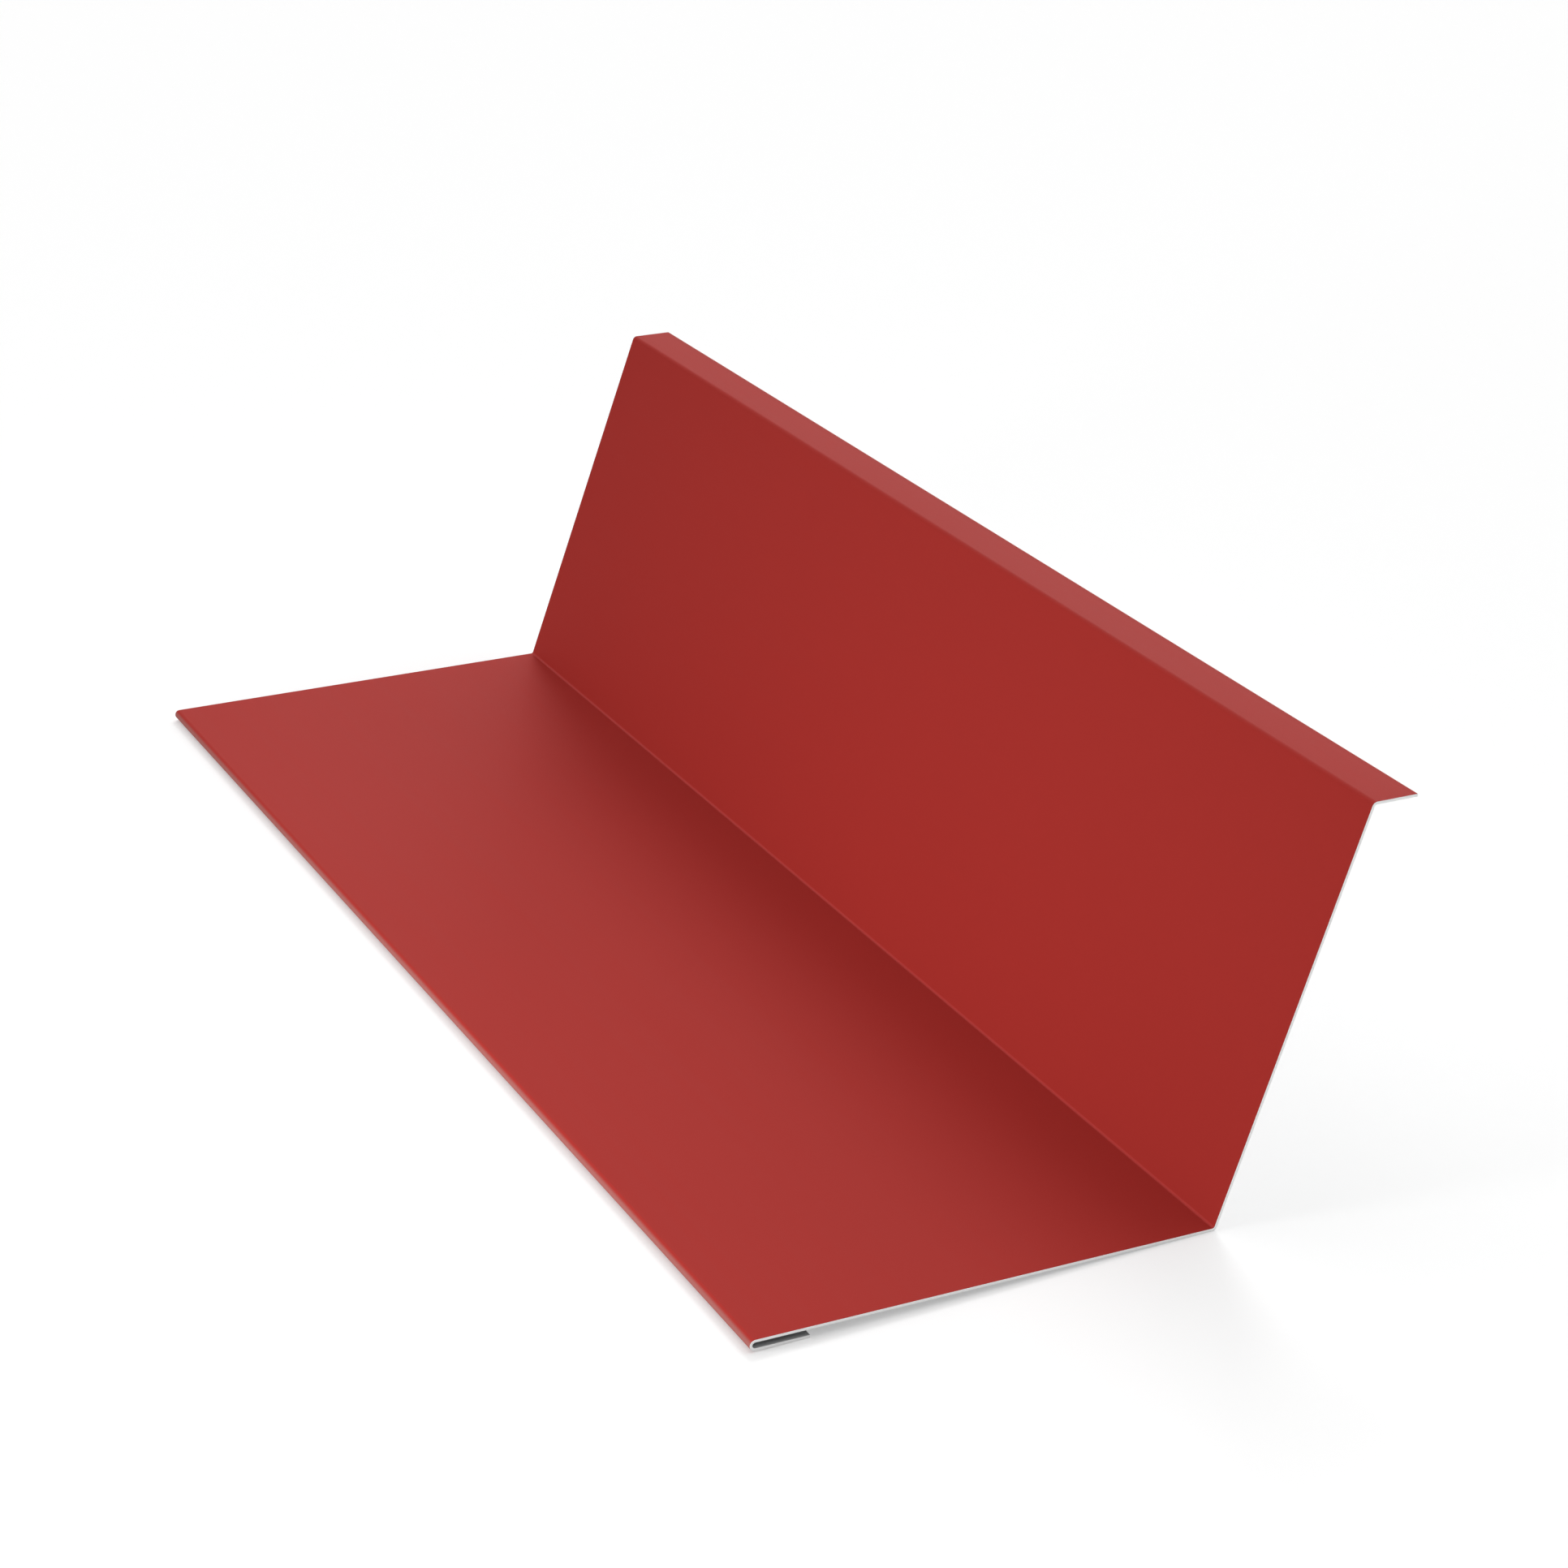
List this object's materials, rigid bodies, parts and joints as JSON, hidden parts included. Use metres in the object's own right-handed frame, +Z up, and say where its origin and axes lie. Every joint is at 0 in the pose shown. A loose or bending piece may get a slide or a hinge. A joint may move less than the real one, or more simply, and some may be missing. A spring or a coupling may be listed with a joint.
{
  "type": "verge flashing",
  "caption": "Folded sheet-metal roof flashing with an open hem, a broad flange, an outward-leaning upstand and a short top lip.",
  "frame": {"origin": "on the floor under the middle of the flashing's width and length, as it lies on its hem and valley fold", "axes": "+X across the profile from the hem towards the upstand and lip, +Y along the length, +Z up"},
  "size_m": [0.285, 0.7, 0.169],
  "materials": {
    "painted_sheet": "satin"
  },
  "bodies": {
    "root": {"flashing": "painted_sheet"}
  },
  "joints": []
}
